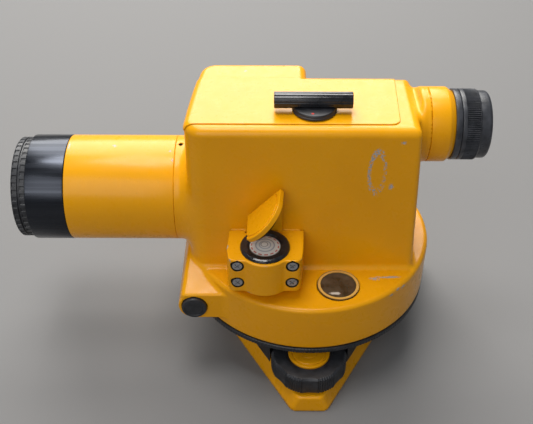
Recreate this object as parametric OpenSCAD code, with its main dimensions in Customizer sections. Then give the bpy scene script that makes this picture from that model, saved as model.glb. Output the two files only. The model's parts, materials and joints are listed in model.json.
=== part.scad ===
// Automatic level: a surveyor's telescope on a rotating drum, over a three-screw levelling base.
// Origin: centre of the base plate's underside, on the vertical axis.
// +X is the line of sight (objective end), +Y the observer's left side, +Z up. Millimetres.

/* [Levelling base] */
// Distance from the vertical axis to each side of the base plate
base_side = 43.8; // [43.5:0.1:44.5]
// Distance from the vertical axis to each cut corner of the base plate
base_corner = 72.6; // [72.2:0.1:72.8]
// Height of the base plate's rim
base_h = 8.6; // [8.5:0.1:8.6]
// Radius of the circle that the foot screws stand on
foot_circle_r = 53; // [52.5:0.5:53.5]
// Radius of a foot-screw knob
knob_r = 18; // [17.5:0.1:18]
// Height of a foot-screw knob
knob_h = 10; // [9.8:0.1:10.2]
// Scallops, and ribbed lobes between them, round a foot-screw knob
knob_lobes = 7; // [5:1:9]
// Radius of the 5/8 inch tripod thread
tripod_thread_r = 7.94; // [7.9:0.01:8]

/* [Drum] */
// Radius of the drum
drum_r = 59.4; // [59.2:0.1:59.8]
// Height of the drum's underside
drum_z = 28; // [27.9:0.1:28.2]
// Height of the drum's upper face
drum_top = 53; // [53:0.1:53.3]
// Teeth on the azimuth worm wheel
wheel_teeth = 100; // [80:10:120]
// Distance from the vertical axis to the tangent screw
tangent_x = 54; // [53.9:0.1:54.2]
// Height of the tangent screw
tangent_z = 40.5; // [40.4:0.1:40.6]

/* [Housing] */
// Height of the housing's roof
house_top = 127.2; // [126.8:0.1:127.5]
// Half width of the housing at the drum's upper face
house_half_w = 30.7; // [30.5:0.1:31]
// Slope of the housing's cast walls, as width lost per height
draft = 0.043; // [0.03:0.001:0.045]
// Place of the housing's objective end
house_front_x = 56; // [55.8:0.1:56.1]
// Place of the housing's eyepiece end
house_back_x = -48.2; // [-48.5:0.1:-48]

/* [Telescope] */
// Height of the objective's axis
objective_z = 76.9; // [76.5:0.1:77.2]
// Radius of the objective tube
tube_r = 24.8; // [24.6:0.1:25]
// Place of the objective tube's front end
tube_end_x = 112.5; // [110:0.5:114]
// Height of the eyepiece's axis
eyepiece_z = 113.3; // [113:0.1:113.4]
// Radius of the eyepiece's knurled ring
eyepiece_r = 16; // [15.5:0.1:16.2]
// Pitch radius of the focusing pinion
pinion_r = 4; // [3.9:0.1:4]

/* [Circular level] */
// Place of the circular level's centre along the line of sight
level_x = 21.1; // [20.8:0.1:21.4]
// Distance from the line of sight to the circular level's centre
level_y = 42.4; // [42:0.1:42.6]
// Height of the circular level block's upper face
level_top = 75.9; // [75.6:0.1:76]
// Tilt of the opened viewing mirror
mirror_open = 46.6; // [40:0.1:50]

/* [Hidden] */

$fn = 64;
hull_fn = 32;      // circles inside hulls
run = 0.05;        // radial clearance of a running fit
skin = 0.01;       // thickness of a hull's end slices
yellow = [0.93, 0.64, 0.06];
black = [0.10, 0.10, 0.11];
steel = [0.62, 0.64, 0.66];
brass = [0.78, 0.62, 0.30];
alloy = [0.78, 0.79, 0.80];
glass = [0.70, 0.80, 0.85, 0.5];

// Base stack
dish_z = 2.2;                       // floor of the base plate's dish
ball_r = 1.7;
ball_z = 2.5;
retainer_h = 0.8;
base_hub_r = 17;
bush_r = 11.5;                      // tripod bush
plate_z = 5;                        // underside of the tribrach's lower plate
plate_h = 2.4;
knob_z = base_h + 0.4;
skirt_z = 10.2;                     // underside of the tribrach's cast skirt
pocket_r = 18.6;                    // pockets of the skirt round the knobs
cap_r = 9.9;
spindle_r = 3;
foot_bush_r = 6;
tilt_room = 0.3;                    // extra clearance of the front screw, which stays upright
hub_r = 30;
hub_bore = 24;
flange_z = 21.2;
flange_h = 3.5;
flange_r = 54;
ring_seat_r = 50.45;
ring_z = flange_z + flange_h + 0.3;
ring_top = drum_z - 0.3;

// Vertical axis
axis_r = 9;
axis_top = 48.6;
wheel_r = tangent_x - 4.2;
worm_r = 3.9;
drum_wall = 4;
plate_seat = 48.5;                  // ledge that the bearing plate bears on

// Housing
bulge_x = 2.2;                      // where the wide objective-side part begins
back_y = -18;                       // back wall of the eyepiece-side part, at the roof
bulge_back_y = -31;                 // back wall of the objective-side part, at the roof
taper = 4.5;                        // how far the objective end slants in towards the back
corner_r = 8.5;
roof_r = 4;                         // rounding of the roof's edges
collar_x = 62.7;                    // seam between the housing and the objective tube
tube_start = 55.3;                  // inner end of the objective tube
pinion_x = -13;
rack_top = objective_z + 10.4;
pinion_z = rack_top + pinion_r + 0.2;
rack_y = -10.6;
boss_y = 44.5;                      // length of the tangent screw's boss each way
boss_r = 7.4;
prism_x = -29.5;                    // vertical leg of the folded line of sight
pivot_z = 101;
eye_bore = 12;
seam_x = -51.3;                     // end of the housing's eyepiece boss
diopter_x = -64.9;

// Circular level and mirror
block_back = 30.6;
block_front = 51.5;
block_z = 57.5;
guide_t = 0.7;                      // plate that stands behind the mirror
mirror_pivot = [28.6, 73.2];        // X and Z of the mirror's pivot
mirror_y = 31.5;                    // back face of the mirror holder
mirror_h = 8.3;                     // folded plate's upper face above the pivot
screw_dx = 12.1;
screw_zs = [62.9, 72.6];

// Small parts on the roof and the drum
window_pos = [-12.6, 42.7];
window_r = 8.2;
sight_y = 11.7;
sight_z = 132.7;

function polar(a, r) = [r * cos(a), r * sin(a)];
// Triangle with cut corners, at +Y and 120 degrees either way
function triangle_points(side, corner) =
    let (w = (side - corner * sin(30)) / cos(30))
    [for (a = [90, 210, 330], s = [-1, 1]) polar(a, corner) + polar(a + 90, s * w)];
// Ring of n shallow V grooves
function knurl_points(n, r, depth) =
    [for (i = [0:2 * n - 1]) polar(i * 180 / n, r - depth * (i % 2))];
// Quarter arc in the plane from angle a0 to a1 about c
function arc_points(c, r, a0, a1, steps) =
    [for (i = [0:steps]) c + polar(a0 + (a1 - a0) * i / steps, r)];

module triangle(side, corner) { polygon(triangle_points(side, corner)); }
module at_foot(i) { rotate([0, 0, 90 + 120 * i]) translate([foot_circle_r, 0, 0]) children(); }
module ring(r_in, r_out, h) {
    difference() {
        cylinder(r = r_out, h = h);
        translate([0, 0, -1]) cylinder(r = r_in, h = h + 2);
    }
}
// Children drawn about +Z are laid along +X, starting at x, on the axis at height z
module along_x(x, z) { translate([x, 0, z]) rotate([0, 90, 0]) children(); }
// Children drawn about +Z are laid along +Y, starting at [x, y, z]
module along_y(p) { translate(p) rotate([-90, 0, 0]) children(); }

// ---- Levelling base ----
module base_plate() {
    color(yellow)
    difference() {
        hull() {
            linear_extrude(2) triangle(base_side, base_corner);
            translate([0, 0, base_h - skin]) linear_extrude(skin) triangle(base_side - 2.8, base_corner - 0.8);
        }
        difference() {
            translate([0, 0, dish_z]) linear_extrude(base_h) triangle(36.8, 65);
            cylinder(r = base_hub_r, h = base_h);
        }
        translate([0, 0, -1]) cylinder(r = bush_r, h = base_h + 2);
        for (i = [0:2]) at_foot(i) translate([0, 0, ball_z - ball_r]) cylinder(r = ball_r + run, h = 3);
    }
}
module tripod_bush() { color(steel) ring(tripod_thread_r, bush_r, base_h); }
module ball_retainer() {
    color(black)
    difference() {
        translate([0, 0, dish_z]) linear_extrude(retainer_h) triangle(36.4, 64.4);
        cylinder(r = base_hub_r + 0.3, h = base_h);
        for (i = [0:2]) at_foot(i) translate([0, 0, ball_z]) sphere(r = ball_r + run);
    }
}

// ---- Foot screws ----
module knob_outline() {
    scallop_r = 20;
    scallop_depth = 0.8;
    pitch = 360 / knob_lobes;
    difference() {
        circle(r = knob_r, $fn = 128);
        for (k = [0:knob_lobes - 1]) {
            rotate(k * pitch) translate([knob_r + scallop_r - scallop_depth, 0]) circle(r = scallop_r);
            for (j = [-3:3])
                rotate((k + 0.5) * pitch + j * pitch / 15) translate([knob_r, 0]) rotate(45)
                    square(0.7, center = true);
        }
    }
}
module foot_knob(i) {
    rim = 0.9;
    color(black)
    at_foot(i) translate([0, 0, knob_z])
    difference() {
        intersection() {
            linear_extrude(knob_h) knob_outline();
            union() {
                cylinder(r = knob_r, h = knob_h - rim);
                translate([0, 0, knob_h - rim]) cylinder(r1 = knob_r, r2 = knob_r - rim, h = rim);
            }
        }
        translate([0, 0, knob_h - 1]) cylinder(r = 11, h = 2);
        translate([0, 0, -1]) cylinder(r = spindle_r, h = knob_h);
    }
}
module foot_spindle(i) {
    neck_r = 1.1;
    color(steel)
    at_foot(i) {
        translate([0, 0, ball_z]) sphere(r = ball_r);
        translate([0, 0, ball_z]) cylinder(r = neck_r, h = 2);
        translate([0, 0, 3.9]) cylinder(r = spindle_r, h = knob_z + knob_h - 1 - 3.9);
    }
}
module foot_cap(i) {
    color(yellow)
    at_foot(i) translate([0, 0, knob_z + knob_h - 1])
    rotate_extrude() polygon([[0, 0], [cap_r, 0], [cap_r, 0.9], [cap_r - 0.4, 1.2], [8.2, 1.2],
                              [8, 0.9], [7.7, 1.2], [0, 1.2]]);
}

// ---- Tribrach and vertical axis ----
module tribrach_body() {
    color(black)
    difference() {
        union() {
            translate([0, 0, plate_z]) linear_extrude(plate_h) triangle(35.4, 63.3);
            translate([0, 0, plate_z]) cylinder(r = hub_r, h = flange_z - plate_z);
            translate([0, 0, skirt_z]) linear_extrude(flange_z - skirt_z)
                difference() {
                    triangle(42, 60);
                    for (i = [0:2]) at_foot(i) circle(r = pocket_r);
                }
            translate([0, 0, flange_z]) cylinder(r = flange_r, h = flange_h);
            translate([0, 0, flange_z]) cylinder(r = ring_seat_r, h = ring_top - flange_z);
        }
        translate([0, 0, plate_z - 1]) cylinder(r = hub_bore, h = flange_z - plate_z + 1);
        cylinder(r = axis_r, h = ring_top + 1);
        for (i = [0:2]) at_foot(i) cylinder(r = foot_bush_r, h = plate_z + plate_h + 1);
    }
}
module foot_bushes() {
    color(brass)
    for (i = [0:2])
        at_foot(i) translate([0, 0, plate_z])
            ring(spindle_r + run + (i == 0 ? tilt_room : 0), foot_bush_r, plate_h);
}
module vertical_spindle() {
    color(steel)
    rotate_extrude() polygon([[0, flange_z - 2], [20, flange_z - 2], [20, flange_z], [axis_r, flange_z],
                              [axis_r, axis_top], [6, axis_top], [6, axis_top + 1.3], [0, axis_top + 1.3]]);
}
module spindle_nut() { color(steel) translate([0, 0, axis_top + 0.05]) ring(6, 12.5, 1.2); }
module circle_ring() {
    color(black)
    translate([0, 0, ring_z])
    difference() {
        linear_extrude(ring_top - ring_z) polygon(knurl_points(120, drum_r, 0.3));
        translate([0, 0, -1]) cylinder(r = ring_seat_r + run, h = 8);
        translate([0, 0, ring_top - ring_z - 0.8]) cylinder(r = 56.7, h = 2);
    }
}
module graduated_circle() { color(alloy) translate([0, 0, ring_top - 0.8]) ring(50.9, 56.4, 0.7); }
module worm_wheel() {
    z = tangent_z - 2.5;
    color(brass)
    difference() {
        union() {
            translate([0, 0, z]) linear_extrude(5) polygon(knurl_points(wheel_teeth, wheel_r, 0.9));
            translate([0, 0, ring_top + 0.6]) cylinder(r = 14, h = 43.8 - ring_top - 0.6);
        }
        for (face = [z - 1, z + 3.5]) translate([0, 0, face]) ring(16, 44, 2.5);
        for (a = [0:60:300]) rotate(a) translate([30, 0, z]) cylinder(r = 9, h = 8);
        cylinder(r = axis_r + run, h = 60);
    }
}

// ---- Housing ----
// Post with a rounded top, one corner of a roof
module roof_post(x, y, r, top) {
    translate([x, y, top])
    rotate_extrude($fn = hull_fn)
        polygon(concat([[0, -roof_r - 2], [r, -roof_r - 2]],
                       arc_points([r - roof_r, -roof_r], roof_r, 0, 90, 5), [[0, 0]]));
}
// Cast block from x0 to x1 and from y0 (at the roof) to the front wall, with drafted walls.
// Corner radii are r0 at x0 and r1 at x1. The x1 side comes in by slant at the back.
module cast_block(x0, x1, y0, r0, r1, slant) {
    lean = draft * (house_top - drum_top);
    foot = drum_top - 4;
    y1 = house_half_w;
    t0 = max(r0, roof_r);
    t1 = max(r1, roof_r);
    hull() {
        translate([x0 + r0, y0 - 1 + r0, foot]) cylinder(r = r0, h = skin, $fn = hull_fn);
        translate([x0 + r0, y1 - r0, foot]) cylinder(r = r0, h = skin, $fn = hull_fn);
        translate([x1 - slant - r1, y0 - 1 + r1, foot]) cylinder(r = r1, h = skin, $fn = hull_fn);
        translate([x1 - r1, y1 - r1, foot]) cylinder(r = r1, h = skin, $fn = hull_fn);
        for (y = [y0 + t0, y1 - lean - t0]) roof_post(x0 + lean + t0, y, t0, house_top);
        roof_post(x1 - slant - t1, y0 + t1, t1, house_top);
        roof_post(x1 - t1, y1 - lean - t1, t1, house_top);
    }
}
module drum_solid() {
    rotate_extrude($fn = 180)
        polygon(concat([[0, drum_z], [drum_r - 0.5, drum_z], [drum_r, drum_z + 0.5]],
                       arc_points([drum_r - 1.5, drum_top - 1.5], 1.5, 0, 90, 5), [[0, drum_top]]));
}
module objective_collar() {
    flare = 2.2;
    start = house_front_x - 6;
    along_x(start, objective_z)
    rotate_extrude()
        polygon(concat([[0, 0], [tube_r + flare, 0], [tube_r + flare, 4.5]],
                       arc_points([tube_r + flare, 4.5 + flare], flare, 270, 180, 6),
                       [[tube_r, collar_x - start], [0, collar_x - start]]));
}
module eyepiece_boss() { along_x(seam_x, eyepiece_z) cylinder(r = 16.9, h = 12); }
module tangent_boss() {
    hull() {
        along_y([tangent_x, -boss_y, tangent_z]) cylinder(r = boss_r, h = 2 * boss_y);
        translate([40, -boss_y, tangent_z - boss_r]) cube([2, 2 * boss_y, 2 * boss_r]);
    }
    hull() {
        along_y([tangent_x, -36, tangent_z]) cylinder(r = boss_r, h = 72, $fn = hull_fn);
        translate([48, -24, 61]) cube([9, 48, skin]);
    }
}
module housing_cavity() {
    cylinder(r = drum_r - drum_wall, h = plate_seat);
    cylinder(r = drum_r - drum_wall - 2, h = drum_top - 3);
    translate([0, 0, drum_top]) linear_extrude(69.5)
        polygon([[house_back_x + 6.5, -14.5], [bulge_x + 3, -14.5], [bulge_x + 3, -27.5],
                 [42.5, -27.5], [47.5, -22.5], [52, 12], [52, 18.5], [47.5, 23.8], [46, 24.2],
                 [house_back_x + 6.5, 24.2]]);
    translate([-30, -9.9, 120]) cube([78, 27.9, 10]);
}
module main_housing() {
    color(yellow)
    difference() {
        union() {
            drum_solid();
            cast_block(bulge_x, house_front_x, bulge_back_y, 5, corner_r, taper);
            cast_block(house_back_x, bulge_x + 20, back_y, 2.2, 8, 0);
            objective_collar();
            eyepiece_boss();
            tangent_boss();
            translate([5, 25, block_z + 0.5]) cube([31.5, block_back - 25, 17.5]);
            along_y([pinion_x, back_y - 1.8, pinion_z]) cylinder(r = 6, h = 7);
        }
        housing_cavity();
        along_x(45, objective_z) cylinder(r = tube_r - 2.2, h = 20);
        along_x(seam_x - 1, eyepiece_z) cylinder(r = eye_bore + run, h = 12);
        along_y([tangent_x, -boss_y - 1, tangent_z]) cylinder(r = 3 + run, h = 2 * boss_y);
        along_y([tangent_x, -20, tangent_z]) cylinder(r = worm_r + 0.4, h = 40);
        along_y([tangent_x, boss_y - 2, tangent_z]) cylinder(r = 5.85, h = 3);
        along_y([pinion_x, back_y - 4, pinion_z]) cylinder(r = 3 + run, h = 15);
        along_y([mirror_pivot[0], 20, mirror_pivot[1]]) cylinder(r = 1.5, h = 14);
        for (s = [-1, 1], z = screw_zs) along_y([level_x + s * screw_dx, 20, z]) cylinder(r = 1.6, h = 14);
        translate([window_pos[0], window_pos[1], drum_top - 4]) cylinder(r = window_r + 0.4, h = 5);
        translate([window_pos[0], window_pos[1], drum_top - 1.5]) cylinder(r = 9.7, h = 2);
    }
}
module bearing_plate() {
    color(alloy)
    translate([0, 0, plate_seat - 3])
    difference() {
        ring(13, drum_r - drum_wall - 0.1, 3);
        for (a = [20:60:320]) rotate(a) translate([34, 0, -1]) cylinder(r = 10, h = 5);
        translate([window_pos[0], window_pos[1], -1]) cylinder(r = 9, h = 5);
    }
}
module axis_bush() { color(brass) translate([0, 0, 44.2]) ring(axis_r + run, 13, plate_seat - 44.2); }
module cover_outline() {
    r = 4;
    x0 = -36.7;
    y0 = -16.3;
    y1 = 22.6;
    difference() {
        polygon([[x0, y0], [48.2, y0], [51.8, y1 - 4], [51.5, y1], [x0, y1]]);
        difference() {
            translate([x0 - 1, y1 - r]) square(r + 1);
            translate([x0 + r, y1 - r]) circle(r = r);
        }
    }
}
module top_cover() {
    color(yellow) {
        translate([0, 0, house_top]) linear_extrude(1) cover_outline();
        translate([-29.7, -9.6, house_top - 3])
            difference() {
                cube([77.4, 27.3, 3]);
                translate([2, 2, -1]) cube([73.4, 23.3, 5]);
            }
    }
}

// ---- Objective and focusing ----
module objective_tube() {
    color(yellow)
    along_x(tube_start, objective_z)
    difference() {
        union() {
            translate([0, 0, collar_x - tube_start]) cylinder(r = tube_r, h = tube_end_x - collar_x);
            cylinder(r = tube_r - 2.3, h = 20);
        }
        translate([0, 0, -1]) cylinder(r = 20.5, h = 30);
        translate([0, 0, 9]) cylinder(r = tube_r - 2.8, h = 60);
    }
}
module objective_ring() {
    ring_h = 17.6;
    spigot = 6;
    color(black)
    along_x(tube_end_x - spigot, objective_z)
    difference() {
        union() {
            cylinder(r = tube_r - 2.9, h = spigot + 1);
            translate([0, 0, spigot]) cylinder(r = tube_r + 0.1, h = ring_h);
        }
        translate([0, 0, -1]) cylinder(r = 20.6, h = 30);
    }
}
module objective_front_ring() {
    color(black)
    along_x(tube_end_x + 17.6, objective_z)
    rotate_extrude()
        polygon([[20.6, 0], [23.7, 0], [23.7, 2.7], [23.1, 3], [23.1, 3.4], [23.7, 3.7],
                 [23.7, 6], [23.2, 6.5], [21.6, 6.5], [20.6, 5]]);
}
module objective_lens() {
    color(glass)
    along_x(tube_end_x + 6, objective_z)
    rotate_extrude()
        polygon(concat([[0, -2]], arc_points([0, 86], 88, -90, -76.6, 8),
                       arc_points([0, -80], 88, 76.6, 90, 8)));
}
module focus_guide() {
    color(alloy)
    along_x(10, objective_z) {
        ring(14 + run, 15.5, 45.2);
        translate([0, 0, 42.2]) ring(14 + run, tube_r - 2.3, 3);
    }
}
module focus_carriage() {
    tooth = 2 * PI * pinion_r / 10;
    color(alloy) {
        difference() {
            along_x(-6, objective_z) ring(12, 14, 38);
            translate([-7, -11, rack_top + 0.1]) cube([8.8, 3.3, 5]);
        }
        difference() {
            translate([-25, rack_y, rack_top - 2.7]) cube([23, 2.6, 2.7]);
            for (k = [-4:3])
                translate([pinion_x + (k + 0.5) * tooth - 0.6, rack_y - 1, rack_top - 0.8]) cube([1.2, 5, 2]);
        }
    }
}
module focusing_lens() {
    color(glass)
    along_x(16, objective_z)
    rotate_extrude()
        polygon(concat([[0, 0]], arc_points([0, -60], 60, 90, 78.5, 6),
                       arc_points([0, 65], 62, -78.9, -90, 6)));
}
module focus_pinion() {
    color(steel) {
        along_y([pinion_x, rack_y, pinion_z])
            linear_extrude(2.6) polygon(knurl_points(10, pinion_r - 0.05, 0.9));
        along_y([pinion_x, -30, pinion_z]) cylinder(r = 3, h = 30 + rack_y);
    }
}
module focus_knob() {
    color(black)
    along_y([pinion_x, -32, pinion_z])
    difference() {
        union() {
            linear_extrude(9) polygon(knurl_points(36, 13, 0.5));
            cylinder(r = 8, h = 12);
        }
        translate([0, 0, 2]) cylinder(r = 3, h = 12);
        translate([0, 0, -1]) ring(6, 10.5, 1.6);
    }
}

// ---- Compensator ----
module compensator_frame() {
    x0 = -40;
    len = 21.5;
    color(alloy)
    difference() {
        translate([x0, -7.2, drum_top]) cube([len, 14.4, 68]);
        translate([x0 - 1, -6.2, drum_top + 3]) cube([len + 2, 12.4, 63]);
        for (x = [x0 - 1, x0 + 17]) translate([x, -8, drum_top + 14]) cube([5.5, 16, 34]);
        along_y([prism_x, -8, pivot_z]) cylinder(r = 1.5 + run, h = 16);
    }
}
module damper_cup() {
    color(brass)
    translate([prism_x, 0, drum_top + 3])
    difference() {
        cylinder(r = 6, h = 8);
        translate([0, 0, 1.5]) cylinder(r = 5.2, h = 8);
    }
}
module fixed_prism() {
    color(glass)
    translate([0, 5.9, 0]) rotate([90, 0, 0]) linear_extrude(11.8)
        polygon([[-36, 106.6], [-23, 106.6], [-36, 118.8]]);
}
module pendulum() {
    color(brass) {
        for (s = [-1, 1]) {
            translate([prism_x - 1.5, s * 5.1 - 0.5, 67.5]) cube([3, 1, 35.5]);
            along_y([prism_x, s * 6.4 - 0.8, pivot_z]) cylinder(r = 1.5, h = 1.6);
        }
        translate([-36, -5.6, 67.4]) cube([12, 11.2, 3]);
        translate([prism_x - 0.35, 0, 58.5]) cylinder(r = 4.2, h = 9);
    }
}
module pendulum_prism() {
    color(glass)
    translate([0, 4.5, 0]) rotate([90, 0, 0]) linear_extrude(9)
        polygon([[-23.5, 70.5], [-23.5, 82.5], [-35.5, 82.5], [-24.5, 70.5]]);
}

// ---- Eyepiece ----
module reticle_cell() { color(black) along_x(-47.5, eyepiece_z) ring(8, eye_bore, 3.5); }
module reticle_glass() { color(glass) along_x(-46.2, eyepiece_z) cylinder(r = 8, h = 1); }
module eyepiece_ring() {
    color(yellow)
    along_x(-62, eyepiece_z)
    rotate_extrude()
        polygon(concat([[eye_bore, 0]], arc_points([12.9, 3.2], 4, -53, 0, 6), [[16.9, 10.7], [eye_bore, 10.7]]));
}
module eyepiece_tube() { color(alloy) along_x(-69.5, eyepiece_z) ring(10, eye_bore, 22); }
module eyepiece_flange() { color(black) along_x(-64.7, eyepiece_z) ring(eye_bore, eyepiece_r, 2.7); }
module diopter_ring() {
    w = 7;
    color(black)
    along_x(diopter_x - w, eyepiece_z)
    difference() {
        linear_extrude(w) polygon(knurl_points(60, eyepiece_r, 0.4));
        translate([0, 0, -1]) cylinder(r = eye_bore + run, h = w + 2);
    }
}
module eyecup() {
    color(black)
    along_x(-78.2, eyepiece_z)
    rotate_extrude()
        polygon(concat([[8, 4], [9.5, 1]], arc_points([13, 2.2], 2.2, -115, 0, 8),
                       [[15.2, 6.3], [8, 6.3]]));
}
module eyepiece_cell() { color(black) along_x(-68, eyepiece_z) ring(8, 10 - run, 14); }
module eyepiece_lens() {
    color(glass)
    for (x = [-66.5, -58])
        along_x(x, eyepiece_z)
        rotate_extrude()
            polygon(concat([[0, 0]], arc_points([0, 20], 20, -90, -66.5, 5), arc_points([0, -16.3], 20, 66.5, 90, 5)));
}

// ---- Circular level and its mirror ----
module level_block() {
    color(yellow)
    difference() {
        union() {
            translate([0, 0, block_z]) linear_extrude(level_top - block_z)
                polygon([[3.5, block_back], [4, 43], [5.1, block_front],
                         [36.9, block_front], [38.1, 43], [37.3, block_back]]);
            translate([level_x, level_y, block_z]) linear_extrude(level_top - block_z)
                intersection() {
                    circle(r = 12.4);
                    translate([-13, 0]) square([26, 13]);
                }
            along_y([0, block_back, 0]) linear_extrude(guide_t)
                polygon([[13.3, -70], [13.3, -98.2], [14.6, -98.8], [28.8, -83.6], [30.5, -70]]);
        }
        translate([level_x, level_y, level_top - 9]) cylinder(r = 9, h = 10);
        translate([21.5, block_back + guide_t, 69.5]) cube([9.8, 1.5, 10]);
        translate([25, block_back + guide_t, 69.5]) cube([6.3, 1.9, 10]);
        along_y([mirror_pivot[0], block_back - 1, mirror_pivot[1]]) cylinder(r = 1.6, h = 3);
        for (s = [-1, 1], z = screw_zs) {
            along_y([level_x + s * screw_dx, block_front - 1.6, z]) cylinder(r = 2.9, h = 4);
            along_y([level_x + s * screw_dx, block_back - 1, z]) cylinder(r = 1.6, h = 25);
        }
    }
}
module level_screws() {
    color(steel)
    for (s = [-1, 1], z = screw_zs) {
        along_y([level_x + s * screw_dx, 21, z]) cylinder(r = 1.5, h = block_front - 22.6);
        along_y([level_x + s * screw_dx, block_front - 1.6, z])
        difference() {
            cylinder(r = 2.2, h = 1.4);
            for (a = [45, 135]) rotate(a) translate([-1.5, -0.25, 0.9]) cube([3, 0.5, 1]);
        }
    }
}
module level_ring() {
    color(black)
    difference() {
        translate([level_x, level_y, level_top])
        rotate_extrude()
            polygon(concat([[7.1, -2], [8.9, -2], [8.9, 0], [11.1, 0]], arc_points([9.9, 0.3], 1.2, 0, 90, 5),
                           [[7.9, 1.5], [7.1, 1]]));
        translate([19, 30, level_top]) cube([8.5, 2.8, 3]);
    }
}
module level_vial() {
    color(glass)
    translate([level_x, level_y, level_top - 8])
    rotate_extrude() polygon(concat([[0, 0], [7, 0], [7, 8.6]], arc_points([0, -19], 28.5, 75.8, 90, 5)));
}
// The mirror holder's parts are drawn folded flat over the level, then swung open
module swung_open() {
    translate([mirror_pivot[0], 0, mirror_pivot[1]]) rotate([0, mirror_open, 0]) children();
}
module mirror_holder() {
    disc_c = [-15.8, 37.3];
    disc_r = 13.1;
    cut_x = -8.1;
    tip = [-29.3, mirror_y];
    plate_t = 2.4;
    color(yellow) {
        swung_open()
        translate([0, 0, mirror_h - plate_t])
        linear_extrude(plate_t)
        union() {
            intersection() {
                translate(disc_c) circle(r = disc_r);
                translate([-30, mirror_y]) square([30 + cut_x, 30]);
            }
            polygon([tip, [cut_x, mirror_y], disc_c, disc_c + polar(168, disc_r)]);
        }
        difference() {
            along_y([0, mirror_y, 0]) linear_extrude(1.1)
                polygon([[26, -84.6], [28.9, -84.4], [29, -75.5], [30.8, -73.2], [30, -71.5],
                         [28.6, -71], [27.2, -71.5], [26.4, -73.2]]);
            along_y([mirror_pivot[0], mirror_y - 1, mirror_pivot[1]]) cylinder(r = 1.6, h = 4);
        }
    }
}
module mirror_glass() {
    color(alloy)
    swung_open()
    translate([-15.8, 40.5, mirror_h - 2.4 - 0.8])
    intersection() {
        cylinder(r = 9, h = 0.8);
        translate([-20, -7.6, -1]) cube([27.4, 30, 3]);
    }
}
module mirror_pivot_screw() {
    color(steel) {
        along_y([mirror_pivot[0], 22, mirror_pivot[1]]) cylinder(r = 1.5, h = mirror_y + 1.15 - 22);
        along_y([mirror_pivot[0], mirror_y + 1.15, mirror_pivot[1]]) cylinder(r = 2.1, h = 0.45);
    }
}

// ---- Window, sight and tangent screw ----
module window_bezel() {
    color(yellow)
    translate([window_pos[0], window_pos[1], drum_top - 1.4]) ring(window_r, 9.65, 1.8);
}
module window_glass() {
    color(glass)
    translate([window_pos[0], window_pos[1], drum_top - 1.4]) cylinder(r = window_r, h = 1.3);
}
module sight_base() {
    z = house_top + 1;
    color(black)
    difference() {
        translate([0, sight_y, z]) cylinder(r1 = 9.7, r2 = 9, h = 2.1);
        along_x(-20, sight_z) translate([0, sight_y, 0]) cylinder(r = 3.6, h = 40);
    }
}
module sight_tube() {
    color(black) along_x(-16.2, sight_z) translate([0, sight_y, 0]) ring(2.5, 3.6, 33.7);
}
module tangent_worm() {
    color(steel) {
        along_y([tangent_x, -56, tangent_z]) cylinder(r = 3, h = 56 + boss_y - 2.6);
        along_y([tangent_x, -12, tangent_z]) cylinder(r = worm_r, h = 24);
    }
}
module tangent_knob() {
    color(black)
    along_y([tangent_x, -57, tangent_z])
    difference() {
        linear_extrude(12) polygon(knurl_points(36, 9.5, 0.5));
        translate([0, 0, 1]) cylinder(r = 3, h = 12);
    }
}
module tangent_cap() {
    color(black)
    along_y([tangent_x, boss_y - 1.9, tangent_z])
    rotate_extrude() polygon([[0, 0], [5.8, 0], [5.8, 3], [5.3, 3.4], [0, 3.4]]);
}

base_plate();
tripod_bush();
ball_retainer();
foot_knob(0);  // foot_knob_1
foot_knob(1);  // foot_knob_2
foot_knob(2);  // foot_knob_3
foot_spindle(0);  // foot_spindle_1
foot_spindle(1);  // foot_spindle_2
foot_spindle(2);  // foot_spindle_3
foot_cap(0);  // foot_cap_1
foot_cap(1);  // foot_cap_2
foot_cap(2);  // foot_cap_3
tribrach_body();
foot_bushes();
vertical_spindle();
spindle_nut();
circle_ring();
graduated_circle();
worm_wheel();
main_housing();
bearing_plate();
axis_bush();
top_cover();
objective_tube();
objective_ring();
objective_front_ring();
objective_lens();
focus_guide();
focus_carriage();
focusing_lens();
focus_pinion();
focus_knob();
compensator_frame();
damper_cup();
fixed_prism();
pendulum();
pendulum_prism();
reticle_cell();
reticle_glass();
eyepiece_ring();
eyepiece_tube();
eyepiece_flange();
diopter_ring();
eyecup();
eyepiece_cell();
eyepiece_lens();
level_block();
level_screws();
level_ring();
level_vial();
mirror_holder();
mirror_glass();
mirror_pivot_screw();
window_bezel();
window_glass();
sight_base();
sight_tube();
tangent_worm();
tangent_knob();
tangent_cap();
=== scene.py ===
"""Looks of the automatic level: castings, turned parts, glass and wear, around the CAD frame."""

import json
import math

import bmesh
import bpy
import numpy as np
from mathutils import Matrix, Vector


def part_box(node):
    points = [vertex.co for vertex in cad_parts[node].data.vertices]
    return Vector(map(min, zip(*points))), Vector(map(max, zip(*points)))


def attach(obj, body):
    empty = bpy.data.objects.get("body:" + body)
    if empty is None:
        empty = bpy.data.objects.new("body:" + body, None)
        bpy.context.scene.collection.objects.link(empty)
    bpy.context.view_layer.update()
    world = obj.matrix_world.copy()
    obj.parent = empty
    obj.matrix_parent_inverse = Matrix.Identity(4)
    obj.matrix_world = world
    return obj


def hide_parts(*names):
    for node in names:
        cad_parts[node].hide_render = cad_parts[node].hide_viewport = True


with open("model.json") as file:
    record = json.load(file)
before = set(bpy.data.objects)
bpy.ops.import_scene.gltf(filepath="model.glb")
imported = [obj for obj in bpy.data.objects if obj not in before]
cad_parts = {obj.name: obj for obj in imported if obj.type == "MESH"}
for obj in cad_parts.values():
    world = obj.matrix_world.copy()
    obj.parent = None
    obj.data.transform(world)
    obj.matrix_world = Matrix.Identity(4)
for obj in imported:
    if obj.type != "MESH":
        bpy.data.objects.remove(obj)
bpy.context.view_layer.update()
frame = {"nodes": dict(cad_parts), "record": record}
MM = 0.001

# ---- Places taken from the frame, in millimetres ----


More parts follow.
